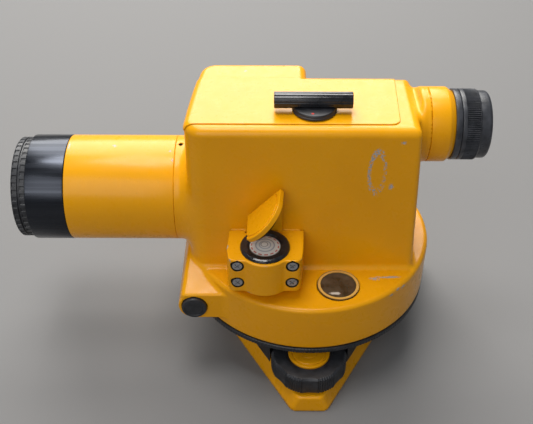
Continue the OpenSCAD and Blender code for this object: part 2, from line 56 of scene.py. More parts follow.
def span(node):
    """Lowest and highest corner of a CAD node, in millimetres."""
    lo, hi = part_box(node)
    return np.array(lo) / MM, np.array(hi) / MM


def middle(node):
    lo, hi = span(node)
    return (lo + hi) / 2


HOUSE_LO, HOUSE_HI = span("main_housing")
DRUM_R = span("circle_ring")[1][0]
DRUM_Z = span("circle_ring")[1][2] + 0.3
DRUM_TOP = 53.0
ROOF = span("top_cover")[1][2] - 1
HALF_W = 30.7
DRAFT = 0.043
BACK_Y = -18.0
BULGE_BACK_Y = -31.0
BACK_X = -48.2
BULGE_X = 2.2
TUBE_Z = middle("objective_tube")[2]
TUBE_R = 24.8
COLLAR_X = 62.7
SCREW_HOLE_X = 60.2
EYE_Z = middle("eyepiece_ring")[2]
EYE_R = 16.9
SEAM_X = span("eyepiece_ring")[1][0]
TANGENT_X = middle("tangent_worm")[0]
TANGENT_Z = middle("tangent_worm")[2]
BOSS_Y = 44.5
BOSS_R = 7.4
PINION = middle("focus_knob")
LEVEL = middle("level_vial")
LEVEL_TOP = span("level_block")[0][2] + 18.4
LEVEL_BACK, LEVEL_FRONT = 30.6, 51.5
LEVEL_SCREWS = [(LEVEL[0] + side * 12.1, z) for side in (-1, 1) for z in (62.9, 72.6)]
MIRROR_PIVOT = middle("mirror_pivot_screw")
MIRROR_OPEN = math.radians(46.6)
MIRROR_BACK = 31.5
MIRROR_TOP = 8.3  # upper face of the folded mirror's plate, above its pivot
DISC, DISC_R = (-15.8, 37.3), 12.8  # x from the pivot, y, in the folded mirror's plane
WINDOW = middle("window_glass")


def swung(points, direction=False):
    """From the folded mirror's place to its open place."""
    c, s = math.cos(MIRROR_OPEN), math.sin(MIRROR_OPEN)
    x, y, z = points.T
    out = np.stack([x * c + z * s, y, -x * s + z * c], 1)
    return out if direction else out + np.array([MIRROR_PIVOT[0], 0, MIRROR_PIVOT[2]])


def folded(x, z):
    """From the open mirror's place, in the plane of its swing, to its folded place."""
    c, s = math.cos(MIRROR_OPEN), math.sin(MIRROR_OPEN)
    x, z = x - MIRROR_PIVOT[0], z - MIRROR_PIVOT[2]
    return (x * c - z * s, x * s + z * c)


# ---- Distance fields: negative inside, all lengths in millimetres ----


def meet(a, b, r=0.0):
    """Intersection, with its edge rounded to radius r."""
    if r == 0:
        return np.maximum(a, b)
    u, v = a + r, b + r
    return np.minimum(np.maximum(u, v), 0) + np.hypot(np.maximum(u, 0), np.maximum(v, 0)) - r


def join(a, b, r=0.0):
    """Union, with a fillet of radius r in its corner. r may differ from point to point."""
    if np.isscalar(r) and r == 0:
        return np.minimum(a, b)
    u, v = np.maximum(r - a, 0), np.maximum(r - b, 0)
    return np.maximum(r, np.minimum(a, b)) - np.hypot(u, v)


def cut(a, b, r=0.0):
    """a without b, with the cut's edge rounded to radius r."""
    return meet(a, -b, r)


def slab(v, lo, hi):
    return np.maximum(lo - v, v - hi)


def rect(x, y, x0, x1, y0, y1, radii):
    """Rectangle with a radius for each corner: (x0, y0), (x1, y0), (x1, y1), (x0, y1)."""
    cx, cy = (x0 + x1) / 2, (y0 + y1) / 2
    dx, dy = x - cx, y - cy
    r = np.where(dx > 0, np.where(dy > 0, radii[2], radii[1]), np.where(dy > 0, radii[3], radii[0]))
    u = np.abs(dx) - (x1 - x0) / 2 + r
    v = np.abs(dy) - (y1 - y0) / 2 + r
    return np.minimum(np.maximum(u, v), 0) + np.hypot(np.maximum(u, 0), np.maximum(v, 0)) - r


def polygon(x, y, points):
    """Distance to a closed outline, given anticlockwise or clockwise."""
    best = np.full(x.shape, 1e9)
    inside = np.zeros(x.shape, bool)
    for (ax, ay), (bx, by) in zip(points, points[1:] + points[:1]):
        ex, ey = bx - ax, by - ay
        t = np.clip(((x - ax) * ex + (y - ay) * ey) / (ex * ex + ey * ey), 0, 1)
        best = np.minimum(best, np.hypot(x - ax - t * ex, y - ay - t * ey))
        crosses = (ay > y) != (by > y)
        with np.errstate(divide="ignore", invalid="ignore"):
            inside ^= crosses & (x < (bx - ax) * (y - ay) / (by - ay) + ax)
    return np.where(inside, -best, best)


def rod(u, v, along, r, lo, hi, edge=0.0):
    """Cylinder of radius r about u = v = 0, from lo to hi."""
    return meet(np.hypot(u, v) - r, slab(along, lo, hi), edge)


# ---- Meshing ----


def grid_values(field, lo, step, counts):
    xs, ys, zs = (lo[i] + step * np.arange(counts[i]) for i in range(3))
    values = np.empty(counts, np.float32)
    gy, gz = np.meshgrid(ys, zs, indexing="ij")
    for i, x in enumerate(xs):
        values[i] = field(np.full_like(gy, x), gy, gz)
    return values


def net(values, lo, step):
    """Surface net of a sampled field: points and quads."""
    inside = values < 0
    total = np.zeros([n - 1 for n in values.shape], np.int8)
    for i in (0, 1):
        for j in (0, 1):
            for k in (0, 1):
                nx, ny, nz = total.shape
                total += inside[i:i + nx, j:j + ny, k:k + nz]
    mixed = (total > 0) & (total < 8)
    index = np.full(mixed.shape, -1, np.int64)
    cells = np.argwhere(mixed)
    index[mixed] = np.arange(len(cells))
    sums, hits = np.zeros((len(cells), 3)), np.zeros(len(cells))
    for axis in range(3):
        others = [a for a in range(3) if a != axis]
        unit = np.eye(3, dtype=int)[axis]
        for i in (0, 1):
            for j in (0, 1):
                corner = np.zeros(3, int)
                corner[others[0]], corner[others[1]] = i, j
                a = values[tuple((cells + corner).T)].astype(float)
                b = values[tuple((cells + corner + unit).T)].astype(float)
                crosses = (a < 0) != (b < 0)
                t = np.where(crosses, a / np.where(crosses, a - b, 1), 0)
                sums += crosses[:, None] * (corner + t[:, None] * unit)
                hits += crosses
    points = lo + step * (cells + sums / hits[:, None])
    quads = []
    for axis in range(3):
        b, c = (axis + 1) % 3, (axis + 2) % 3
        first = np.take(inside, np.arange(inside.shape[axis] - 1), axis)
        second = np.take(inside, np.arange(1, inside.shape[axis]), axis)
        for leaving in (True, False):
            edges = np.argwhere(first & ~second if leaving else ~first & second)
            edges = edges[(edges[:, b] > 0) & (edges[:, c] > 0)]
            edges = edges[(edges[:, b] < inside.shape[b] - 1) & (edges[:, c] < inside.shape[c] - 1)]
            corners = []
            for db, dc in ((1, 1), (0, 1), (0, 0), (1, 0)):
                at = edges.copy()
                at[:, b] -= db
                at[:, c] -= dc
                corners.append(index[tuple(at.T)])
            quad = np.stack(corners, 1)
            quads.append(quad if leaving else quad[:, ::-1])
    return points, np.concatenate(quads)


def gradient(field, p, h=0.02):
    g = np.empty_like(p)
    for axis in range(3):
        d = np.zeros(3)
        d[axis] = h
        g[:, axis] = (field(*(p + d).T) - field(*(p - d).T)) / (2 * h)
    return g


def link(name, body, points, faces, material, replaces=(), normals=None):
    """A mesh object in metres from points in millimetres and quads, riding on a body."""
    mesh = bpy.data.meshes.new(name)
    mesh.vertices.add(len(points))
    mesh.vertices.foreach_set("co", (points * MM).astype(np.float32).ravel())
    mesh.loops.add(faces.size)
    mesh.loops.foreach_set("vertex_index", faces.astype(np.int32).ravel())
    mesh.polygons.add(len(faces))
    mesh.polygons.foreach_set("loop_start", np.arange(0, faces.size, 4, dtype=np.int32))
    mesh.update(calc_edges=True)
    mesh.validate()
    mesh.polygons.foreach_set("use_smooth", np.ones(len(mesh.polygons), bool))
    if normals is not None:
        mesh.normals_split_custom_set_from_vertices(normals)
    obj = bpy.data.objects.new(name, mesh)
    bpy.context.scene.collection.objects.link(obj)
    mesh.materials.append(material)
    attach(obj, body)
    if replaces:
        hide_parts(*replaces)
    return obj


def casting(name, body, field, lo, hi, step, material, replaces=(), place=None):
    """A mesh of a distance field inside a box. place turns finished points and normals."""
    lo = np.array(lo, float) - 2.5 * step
    counts = tuple(int(n) for n in np.ceil((np.array(hi) + 2.5 * step - lo) / step) + 1)
    points, quads = net(grid_values(field, lo, step, counts), lo, step)
    for _ in range(3):
        g = gradient(field, points)
        d = field(*points.T)
        move = d[:, None] * g / np.maximum((g * g).sum(1), 0.05)[:, None]
        size = np.linalg.norm(move, axis=1, keepdims=True)
        points -= move * np.minimum(1, 0.5 * step / np.maximum(size, 1e-9))
    g = gradient(field, points, 0.15 * step)
    normals = g / np.maximum(np.linalg.norm(g, axis=1, keepdims=True), 1e-9)
    if place is not None:
        points, normals = place(points), place(normals, True)
    link(name, body, points, quads, material, replaces, normals)


def softened(points, steps):
    """Closed outline with rounded corners. Each point is (r, h) or (r, h, radius)."""
    out = []
    n = len(points)
    for i, p in enumerate(points):
        radius = p[2] if len(p) > 2 else 0
        here = np.array(p[:2], float)
        if radius == 0:
            out.append(here)
            continue
        before = np.array(points[i - 1][:2], float) - here
        after = np.array(points[(i + 1) % n][:2], float) - here
        la, lb = np.linalg.norm(before), np.linalg.norm(after)
        before, after = before / la, after / lb
        half = math.acos(float(np.clip(before @ after, -1, 1))) / 2
        reach = min(radius / math.tan(half), 0.49 * la, 0.49 * lb)
        r = reach * math.tan(half)
        bisector = (before + after) / np.linalg.norm(before + after)
        centre = here + bisector * r / math.sin(half)
        a, b = here + before * reach - centre, here + after * reach - centre
        a0 = math.atan2(a[1], a[0])
        turn = (math.atan2(b[1], b[0]) - a0 + math.pi) % (2 * math.pi) - math.pi
        for s in range(steps + 1):
            t = a0 + turn * s / steps
            out.append(centre + r * np.array([math.cos(t), math.sin(t)]))
    return out


AXES = {  # directions of the radius at angle 0, of the radius at 90 degrees, and of the axis
    "x": np.array([[0, 1, 0], [0, 0, 1], [1, 0, 0]], float),
    "y": np.array([[0, 0, 1], [1, 0, 0], [0, 1, 0]], float),
    "z": np.array([[1, 0, 0], [0, 1, 0], [0, 0, 1]], float),
}


def turned(name, body, profile, axis, at, material, replaces=(), segments=192,
           shape=None, steps=4):
    """A body of revolution. profile is a closed outline of (radius, height[, rounding]); it
    starts and ends on the axis when those radii are 0. shape(angle, r, h) gives a new radius."""
    outline = np.array(softened(profile, steps))
    solid = profile[0][0] == 0 and profile[-1][0] == 0
    angles = np.arange(segments) * 2 * math.pi / segments
    ring_r, ring_h = outline[:, 0], outline[:, 1]
    r = np.broadcast_to(ring_r[None, :], (segments, len(outline)))
    h = np.broadcast_to(ring_h[None, :], r.shape)
    t = np.broadcast_to(angles[:, None], r.shape)
    if shape is not None:
        r = shape(t, r, h)
    e0, e1, e2 = AXES[axis]
    points = (np.array(at)[None, None] + (r * np.cos(t))[..., None] * e0
              + (r * np.sin(t))[..., None] * e1 + h[..., None] * e2).reshape(-1, 3)
    m = len(outline)
    faces = []
    for s in range(segments):
        a, b = s * m, ((s + 1) % segments) * m
        for k in range(m - 1 if solid else m):
            k1 = (k + 1) % m
            faces.append((a + k, b + k, b + k1, a + k1))
    clean(link(name, body, points, np.array(faces), material, replaces))


def clean(obj):
    """Merges doubled points, faces outward, and marks the sharp edges."""
    bm = bmesh.new()
    bm.from_mesh(obj.data)
    bmesh.ops.remove_doubles(bm, verts=bm.verts, dist=1e-6)
    bmesh.ops.dissolve_degenerate(bm, dist=1e-7, edges=bm.edges)
    bmesh.ops.recalc_face_normals(bm, faces=bm.faces)
    bm.to_mesh(obj.data)
    bm.free()
    obj.data.set_sharp_from_angle(angle=math.radians(35))


# ---- Materials ----


class Shader:
    """Short names for building a node material."""

    def __init__(self, name, color, roughness, metallic=0.0):
        self.material = bpy.data.materials.new(name)
        self.material.use_nodes = True
        self.nodes = self.material.node_tree.nodes
        self.links = self.material.node_tree.links
        self.bsdf = self.nodes["Principled BSDF"]
        self.set("Base Color", (*color, 1))
        self.set("Roughness", roughness)
        self.set("Metallic", metallic)
        self.coords = self.nodes.new("ShaderNodeTexCoord").outputs["Object"]

    def set(self, socket, value):
        self.bsdf.inputs[socket].default_value = value

    def feed(self, socket, output):
        self.links.new(output, self.bsdf.inputs[socket])

    def add(self, kind, **inputs):
        node = self.nodes.new(kind)
        for key, value in inputs.items():
            if isinstance(value, bpy.types.NodeSocket):
                self.links.new(value, node.inputs[key])
            else:
                node.inputs[key].default_value = value
        return node

    def noise(self, per_mm, detail, stretch=(1, 1, 1)):
        """Noise with a feature size of one over per_mm."""
        mapping = self.add("ShaderNodeMapping", Vector=self.coords)
        mapping.inputs["Scale"].default_value = tuple(s * 1000 * per_mm for s in stretch)
        node = self.add("ShaderNodeTexNoise", Vector=mapping.outputs[0], Scale=1.0, Detail=detail,
                        Roughness=0.5)
        return node.outputs["Fac"]

    def ramp(self, value, stops):
        """Colour ramp between two (position, colour) stops."""
        node = self.add("ShaderNodeValToRGB", Fac=value)
        for end, (position, color) in zip(node.color_ramp.elements, stops):
            end.position = position
            end.color = (*color, 1)
        return node.outputs["Color"]

    def span(self, value, a, b, low=0.0, high=1.0):
        node = self.add("ShaderNodeMapRange", Value=value)
        for key, number in (("From Min", a), ("From Max", b), ("To Min", low), ("To Max", high)):
            node.inputs[key].default_value = number
        return node.outputs[0]

    def math(self, operation, a, b=0.0):
        node = self.nodes.new("ShaderNodeMath")
        node.operation = operation
        for socket, value in zip(node.inputs, (a, b)):
            if isinstance(value, bpy.types.NodeSocket):
                self.links.new(value, socket)
            else:
                socket.default_value = value
        return node.outputs[0]

    def distance(self, at, size):
        """Distance in millimetres from a place, divided by a size for each axis."""
        mapping = self.add("ShaderNodeMapping", Vector=self.coords)
        mapping.inputs["Scale"].default_value = tuple(1000 / s for s in size)
        mapping.inputs["Location"].default_value = tuple(-a / s for a, s in zip(at, size))
        node = self.nodes.new("ShaderNodeVectorMath")
        node.operation = "LENGTH"
        self.links.new(mapping.outputs[0], node.inputs[0])
        return node.outputs["Value"]

    def mix(self, factor, a, b):
        node = self.nodes.new("ShaderNodeMix")
        node.data_type = "RGBA"
        for key, value in (("Factor", factor), ("A", a), ("B", b)):
            socket = [s for s in node.inputs if s.name == key and s.type in ("RGBA", "VALUE")
                      and (s.type == "VALUE") == (key == "Factor")][0]
            if isinstance(value, bpy.types.NodeSocket):
                self.links.new(value, socket)
            else:
                socket.default_value = value if key == "Factor" else (*value, 1)
        return [s for s in node.outputs if s.type == "RGBA"][0]

    def bump(self, height, distance_mm):
        node = self.add("ShaderNodeBump", Height=height, Strength=1.0)
        node.inputs["Distance"].default_value = distance_mm * MM
        self.feed("Normal", node.outputs["Normal"])


YELLOW = (0.84, 0.375, 0.003)
YELLOW_DEEP = (0.78, 0.330, 0.002)


def yellow_paint(name, wear=None, dark=None, light=YELLOW, deep=YELLOW_DEEP):
    """Glossy enamel with slight colour change, orange peel and, where the mask wear says, bare metal;
    where the mask dark says, black: painted shade in holes and counterbores, and a dark line round the
    window's bezel."""
    s = Shader(name, YELLOW, 0.3)
    tone = s.span(s.noise(0.02, 2), 0.3, 0.7)
    color = s.mix(tone, light, deep)
    dust = s.span(s.noise(0.9, 4), 0.64, 0.78, 0, 0.25)
    color = s.mix(dust, color, (0.50, 0.28, 0.03))
    if wear is not None:
        bare = wear(s)
        metal = s.ramp(s.noise(3, 2), [(0.35, (0.22, 0.20, 0.18)), (0.6, (0.50, 0.50, 0.52))])
        color = s.mix(bare, color, metal)
    # the dark mask paints black: painted shade in holes and counterbores, and the dark line round the
    # bezel
    if dark is not None:
        color = s.mix(dark(s), color, (0.012, 0.011, 0.010))
    s.feed("Base Color", color)
    s.feed("Roughness", s.span(s.noise(0.25, 4), 0.3, 0.7, 0.24, 0.36))
    s.set("Specular IOR Level", 0.22)
    s.set("Coat Weight", 0.08)
    s.set("Coat Roughness", 0.12)
    s.bump(s.noise(0.7, 2), 0.010)
    return s.material


def most(s, masks):
    """The largest of several masks."""
    out = masks[0]
    for mask in masks[1:]:
        out = s.math("MAXIMUM", out, mask)
    return out


def marks(s, places):
    """Small ragged spots. Each place is (centre, half sizes)."""
    rough = s.span(s.noise(2.2, 4), 0.3, 0.7, 0.0, 1.0)
    return most(s, [s.span(s.math("ADD", s.distance(at, size), rough), 0.9, 1.1, 1.0, 0.0)
                    for at, size in places])


def housing_wear(s):
    """Ring-shaped scuff on the front wall, chips and scratches."""
    reach = s.distance((-27.2, 28.6, 106.5), (3.4, 9, 10.5))
    ring = s.span(s.math("ABSOLUTE", s.math("SUBTRACT", reach, 1.0)), 0.14, 0.26, 1.0, 0.0)
    arc = s.span(s.distance((-23.5, 28.6, 110), (5, 9, 10)), 0.5, 1.5, 0.0, 0.09)
    ragged = s.span(s.math("SUBTRACT", s.noise(1.3, 5), arc), 0.44, 0.48, 0.0, 1.0)
    scuff = s.math("MULTIPLY", ring, ragged)
    spots = [((-33.8, 28.8, 99.4), (1.5, 3, 2.2)), ((-37.2, 28.0, 121.6), (1.8, 2, 1.2)),
             ((30.5, -22.8, 127.2), (1.1, 1.1, 1)), ((-36.3, 37.2, 53), (9, 1.0, 1)),
             ((-29.6, 38.4, 53), (3.4, 1.2, 1)), ((-42.9, 41.1, 51.0), (2.2, 1.8, 1.3)),
             ((-40.1, 43.8, 51.7), (1.6, 1.6, 1.1)), ((-36.8, 46.6, 50.6), (2.0, 1.8, 1.1)),
             ((-47.5, 24, 124), (1.2, 1.5, 1.2)), ((54.6, 21.5, 121.5), (1.0, 1.6, 1.2)),
             ((9, 51.0, 45), (0.9, 12, 1.2)),
             ((-50.8, 4.0, 128.8), (0.8, 1.6, 1.0)), ((-50.9, -2.0, 129.2), (0.6, 1.2, 1.0))]
    return most(s, [scuff, marks(s, spots)])


def screw_hole_shade(s):
    """Painted shade: black inside the small screw hole on the tube's collar."""
    return s.span(s.distance((SCREW_HOLE_X, 0, 103), (1.15, 1.15, 5)), 0.9, 1.0, 1.0, 0.0)


def tube_wear(s):
    return marks(s, [((90.5, 1.6, 101.7), (1.6, 1.2, 1)), ((64.8, 5, 101.2), (0.9, 1, 1)),
                     ((111.6, 2, 101.6), (0.8, 3, 1)), ((63.4, 10, 99.5), (0.7, 2, 1))])


def level_wear(s):
    return marks(s, [((4.6, 50.4, 75.4), (1.2, 1.4, 1)), ((36.6, 50.6, 75.2), (1.0, 1.2, 1)),
                     ((37.8, 42, 75.8), (0.8, 2.2, 0.6)), ((28, 52.6, 57.8), (2, 1.2, 0.8)),
                     ((20.7, 55.4, 75.4), (1.6, 1.2, 0.7))])


def counterbore_shade(s):
    """Painted shade: black in the four counterbores."""
    return most(s, [s.span(s.distance((x, 50, z), (3.05, 9, 3.05)), 0.97, 1.03, 1.0, 0.0)
                    for x, z in LEVEL_SCREWS])


def bezel_rim(s):
    """Dark line round the window's bezel and at its glass."""
    away = s.distance((WINDOW[0], WINDOW[1], 0), (1, 1, 1e6))
    return most(s, [s.span(away, 9.3, 9.5, 0.0, 0.8), s.span(away, 8.15, 8.3, 0.8, 0.0)])


def base_wear(s):
    return marks(s, [((8.5, 71, 8), (1.4, 1.6, 1.2)), ((-9.5, 70, 7.6), (1.2, 1.8, 1.4)),
                     ((-20, 53.5, 8), (2.4, 1.8, 1)), ((0, 71.8, 1), (3.4, 1, 1))])


def black_plastic(name, grain=4.0, roughness=0.42, tone=1.0, stretch=(1, 1, 1)):
    """Dark plastic or enamel; tone scales its brightness."""
    s = Shader(name, (0.016, 0.017, 0.019), roughness)
    deep = (0.012 * tone, 0.013 * tone, 0.016 * tone)
    pale = (0.032 * tone, 0.034 * tone, 0.040 * tone)
    s.feed("Base Color", s.mix(s.span(s.noise(0.3, 4), 0.35, 0.75), deep, pale))
    s.feed("Roughness", s.span(s.noise(0.5, 3, stretch), 0.3, 0.7, roughness - 0.08, roughness + 0.1))
    s.bump(s.noise(grain, 2, stretch), 0.02)
    return s.material


def metal(name, color, roughness, stretch=(1, 1, 1), per_mm=1.5):
    """Machined metal, with tool marks drawn out along the short axes of stretch."""
    s = Shader(name, color, roughness, 1.0)
    lines = s.noise(per_mm, 4, stretch)
    s.feed("Base Color", s.mix(s.span(lines, 0.3, 0.7), color, tuple(c * 0.78 for c in color)))
    s.feed("Roughness", s.span(lines, 0.3, 0.7, roughness - 0.07, roughness + 0.1))
    s.bump(lines, 0.01)
    return s.material


def glass(name, color=(1, 1, 1), roughness=0.02, ior=1.5):
    s = Shader(name, color, roughness)
    s.set("Transmission Weight", 1.0)
    s.set("IOR", ior)
    s.feed("Roughness", s.span(s.noise(0.2, 3), 0.4, 0.75, roughness, roughness + 0.05))
    return s.material


def silvered_disc(name):
    """Mirror glass with a dark edge."""
    s = Shader(name, (0.8, 0.82, 0.83), 0.05, 1.0)
    centre = swung(np.array([[DISC[0], 40.5, MIRROR_TOP - 2.8]]))[0]
    edge = s.span(s.distance(tuple(centre), (1, 1, 1)), 8.75, 8.85)
    s.feed("Base Color", s.mix(edge, (0.8, 0.82, 0.83), (0.06, 0.035, 0.008)))
    s.feed("Roughness", s.span(s.noise(0.4, 3), 0.3, 0.7, 0.03, 0.12))
    return s.material


def vial_glass(name):
    """White backing under a glass dome, with level circles and a bubble."""
    s = Shader(name, (0.78, 0.80, 0.78), 0.12)
    flat = s.distance((LEVEL[0], LEVEL[1], 0), (1, 1, 1e6))

    def circle(radius, width):
        away = s.math("ABSOLUTE", s.math("SUBTRACT", flat, radius))
        return s.span(away, 0.4 * width, 0.6 * width, 1.0, 0.0)

    color = s.mix(circle(4.1, 0.55), (0.74, 0.77, 0.76), (0.36, 0.41, 0.48))
    color = s.mix(circle(2.5, 0.4), color, (0.36, 0.42, 0.50))
    bubble = s.distance((LEVEL[0] + 0.3, LEVEL[1] - 0.3, 0), (1.5, 1.5, 1e6))
    color = s.mix(s.span(bubble, 0.92, 1.0, 1.0, 0.0), color, (0.86, 0.88, 0.86))
    color = s.mix(s.span(s.math("ABSOLUTE", s.math("SUBTRACT", bubble, 1.0)), 0.08, 0.16, 1.0, 0.0),
                  color, (0.30, 0.32, 0.33))
    angle = s.nodes.new("ShaderNodeTexGradient")
    angle.gradient_type = "RADIAL"
    shift = s.add("ShaderNodeMapping", Vector=s.coords)
    shift.inputs["Location"].default_value = (-LEVEL[0] * MM, -LEVEL[1] * MM, 0)
    s.links.new(shift.outputs[0], angle.inputs[0])
    dash = s.math("FRACT", s.math("MULTIPLY", angle.outputs["Fac"], 14.0))
    red = s.math("MULTIPLY", circle(6.0, 0.6), s.math("GREATER_THAN", dash, 0.38))
    color = s.mix(red, color, (0.56, 0.16, 0.14))
    color = s.mix(s.span(flat, 6.5, 6.9), color, (0.10, 0.11, 0.12))
    s.feed("Base Color", color)
    s.feed("Roughness", s.span(s.noise(0.8, 3), 0.4, 0.7, 0.08, 0.16))
    s.set("Coat Weight", 0.8)
    return s.material


def window_pane(name):
    """Dark pane with a pale streak of reflected sky."""
    s = Shader(name, (0.05, 0.04, 0.03), 0.1)
    smoke = s.ramp(s.noise(0.18, 3), [(0.3, (0.014, 0.011, 0.009)), (0.75, (0.10, 0.08, 0.06))])
    streak = s.distance((WINDOW[0] + 1.6, WINDOW[1] + 5.1, 0), (3.4, 1.1, 1e6))
    ragged = s.span(s.noise(0.5, 3), 0.3, 0.7, 0.0, 0.5)
    mask = s.span(s.math("ADD", streak, ragged), 0.8, 1.2, 0.9, 0.0)
    s.feed("Base Color", s.mix(mask, smoke, (0.62, 0.58, 0.52)))
    s.feed("Roughness", s.span(s.noise(0.6, 3), 0.4, 0.7, 0.08, 0.18))
    s.set("Coat Weight", 0.6)
    return s.material


PAINT = yellow_paint("yellow_enamel")
# housing paint: wear marks, and painted shade inside the collar's screw hole
HOUSING_PAINT = yellow_paint("yellow_enamel_housing", housing_wear, screw_hole_shade)
TUBE_PAINT = yellow_paint("yellow_enamel_tube", tube_wear)
# level paint: wear marks, and painted shade in the counterbores
LEVEL_PAINT = yellow_paint("yellow_enamel_level", level_wear, counterbore_shade)
BASE_PAINT = yellow_paint("yellow_enamel_base", base_wear)
BLACK = black_plastic("black_plastic")
ENAMEL = black_plastic("black_enamel", 1.2, 0.36)
GLOSS = black_plastic("black_glossy", 0.8, 0.16, 0.7)
GRIP = black_plastic("black_eyepiece", 2.0, 0.33, 1.7)
ANODISED = metal("black_anodised", (0.045, 0.049, 0.059), 0.25, (0.004, 1, 1), 0.5)
STEEL = metal("turned_steel", (0.60, 0.61, 0.62), 0.28, (1, 1, 6))
BRASS = metal("machined_brass", (0.78, 0.56, 0.22), 0.3, (1, 1, 6))
ALLOY = metal("machined_alloy", (0.72, 0.73, 0.75), 0.34, (5, 1, 1))
BRIGHT = metal("plated_screw", (0.52, 0.52, 0.53), 0.3)
CLEAR = glass("optical_glass", (0.86, 0.93, 0.97))
RED = Shader("red_dot", (0.5, 0.02, 0.01), 0.45).material
SLOT_MATERIALS = {
    "yellow_paint": PAINT, "black_paint": ENAMEL, "black_plastic": BLACK, "black_anodised": ANODISED,
    "steel": STEEL, "bright_screw": BRIGHT, "brass": BRASS, "alloy": ALLOY, "lens_glass": CLEAR,
    "window_glass": window_pane("window_pane"), "vial_glass": vial_glass("vial"),
    "mirror": silvered_disc("silvered_disc"),
}
NODE_MATERIALS = {
    "window_bezel": yellow_paint("bezel_tan", None, bezel_rim, (0.72, 0.42, 0.10), (0.60, 0.32, 0.07)),
}

# ---- CAD nodes keep their shape and take their own material or their slot's ----

for part in frame["record"]["subparts"]:
    name = part["node"]
    materials = frame["nodes"][name].data.materials
    materials.clear()
    materials.append(NODE_MATERIALS.get(name, SLOT_MATERIALS[part["material_slot"]]))

# ---- Housing casting ----

ROOF_EDGE = 3.8  # rounding of the roof's edges
BOX_FOOT = DRUM_TOP - 4  # the box's walls start inside the drum
DRUM_WALL = 4.0
CAVITY_TOP = 122.5


def wide_block(x, y, z):
    """Objective-side part. Its end wall comes in towards the back, and less so lower down."""
    s = np.maximum(22 - y, 0)
    end = (x - (56 - 0.05 * s - 0.0009 * s * s)) * 0.993
    front = y - (HALF_W - DRAFT * (z - DRUM_TOP))
    back = BULGE_BACK_Y - (ROOF - z) / 74 - y
    wall = meet(meet(meet(end, front, 8.5), back, 7.0), BULGE_X - x, 4.0)
    return meet(wall, z - ROOF, ROOF_EDGE)


def slim_block(x, y, z):
    up = z - DRUM_TOP
    wall = rect(x, y, BACK_X + DRAFT * up, BULGE_X + 20, BACK_Y - (ROOF - z) / 74, HALF_W - DRAFT * up,
                (2.4, 2.4, 2.4, 2.4))
    return meet(wall, z - ROOF, ROOF_EDGE)


def roof_shape(x, y, z):
    """The box over the drum: a wide objective side and a narrower eyepiece side."""
    fillet = 1.2 * np.clip((ROOF - 4 - z) / 4, 0.001, 1) * np.clip((-4 - y) / 4, 0.001, 1)
    return join(wide_block(x, y, z), slim_block(x, y, z), fillet)


CAVITY = [(BACK_X + 6.5, -14.5), (BULGE_X + 3, -14.5), (BULGE_X + 3, -27.5), (42.5, -27.5),
          (47.5, -22.5), (52, 12), (52, 18.5), (47.5, 23.8), (46, 24.2), (BACK_X + 6.5, 24.2)]


def housing(x, y, z):
    drum = meet(np.hypot(x, y) - DRUM_R, slab(z, DRUM_Z, DRUM_TOP), 1.9)
    box = meet(roof_shape(x, y, z), BOX_FOOT - z)
    solid = join(drum, box, 2.4)
    collar = rod(y, z - TUBE_Z, x, TUBE_R, 40, COLLAR_X, 0.25)
    solid = join(solid, collar, 5.5)
    eye = meet(np.hypot(y, z - EYE_Z) - EYE_R, SEAM_X - x, 0.3)
    solid = join(solid, meet(eye, x + 47, 1.5), 4.5)
    boss = rod(x - TANGENT_X, z - TANGENT_Z, y, BOSS_R, -BOSS_Y, BOSS_Y, 0.6)
    arm = meet(meet(slab(x, 38, TANGENT_X), np.abs(z - TANGENT_Z) - BOSS_R), np.abs(y) - BOSS_Y, 0.6)
    rise = (BOSS_Y - np.abs(y)) * 0.38
    web = meet((z - TANGENT_Z - BOSS_R - rise) * 0.935, np.abs(y) - BOSS_Y, 0.8)
    web = meet(web, meet((x - TANGENT_X - BOSS_R + (z - TANGENT_Z) * 0.22) * 0.977, 40 - x), 2.0)
    web = meet(web, slab(z, TANGENT_Z, 61))
    boss = join(join(boss, arm), web)
    solid = join(solid, boss, 1.6)
    pad = meet(slab(x, 5.5, 36), meet(slab(y, 25, 30.5), slab(z, 58.2, 75.2)))
    solid = join(solid, pad)
    bearing = rod(x - PINION[0], z - PINION[2], y, 6, -19.8, -12.8, 0.4)
    solid = join(solid, bearing, 0.8)
    hollow = join(rod(x, y, z, DRUM_R - DRUM_WALL, 0, 48.5), rod(x, y, z, DRUM_R - 6, 0, DRUM_TOP - 3))
    hollow = join(hollow, meet(polygon(x, y, CAVITY), slab(z, DRUM_TOP - 6, CAVITY_TOP), 1.0))
    hollow = join(hollow, meet(rect(x, y, -30, 48, -9.9, 18, (1, 1, 1, 1)), slab(z, 120, 140)))
    solid = cut(solid, hollow, 0.3)
    solid = cut(solid, rod(y, z - TUBE_Z, x, 22.6, 45, 80), 0.3)
    solid = cut(solid, rod(y, z - EYE_Z, x, 12.05, -60, -40), 0.3)
    solid = cut(solid, rod(x - TANGENT_X, z - TANGENT_Z, y, 3.05, -60, 60))
    solid = cut(solid, rod(x - TANGENT_X, z - TANGENT_Z, y, 5.95, BOSS_Y - 2, 60), 0.3)
    solid = cut(solid, rod(x - TANGENT_X, z - TANGENT_Z, y, 4.3, -20, 20))
    solid = cut(solid, rod(x - PINION[0], z - PINION[2], y, 3.05, -22, -7))
    solid = cut(solid, rod(x - SCREW_HOLE_X, y, z, 0.9, 98, 130), 0.15)
    solid = cut(solid, rod(x - WINDOW[0], y - WINDOW[1], z, 9.75, 51.4, 60), 0.4)
    return cut(solid, rod(x - WINDOW[0], y - WINDOW[1], z, 8.6, 40, 60), 0.3)


STEP = 0.75
casting("housing_casting", "telescope", housing, HOUSE_LO, HOUSE_HI + 1.5, STEP, HOUSING_PAINT,
        ["main_housing"])


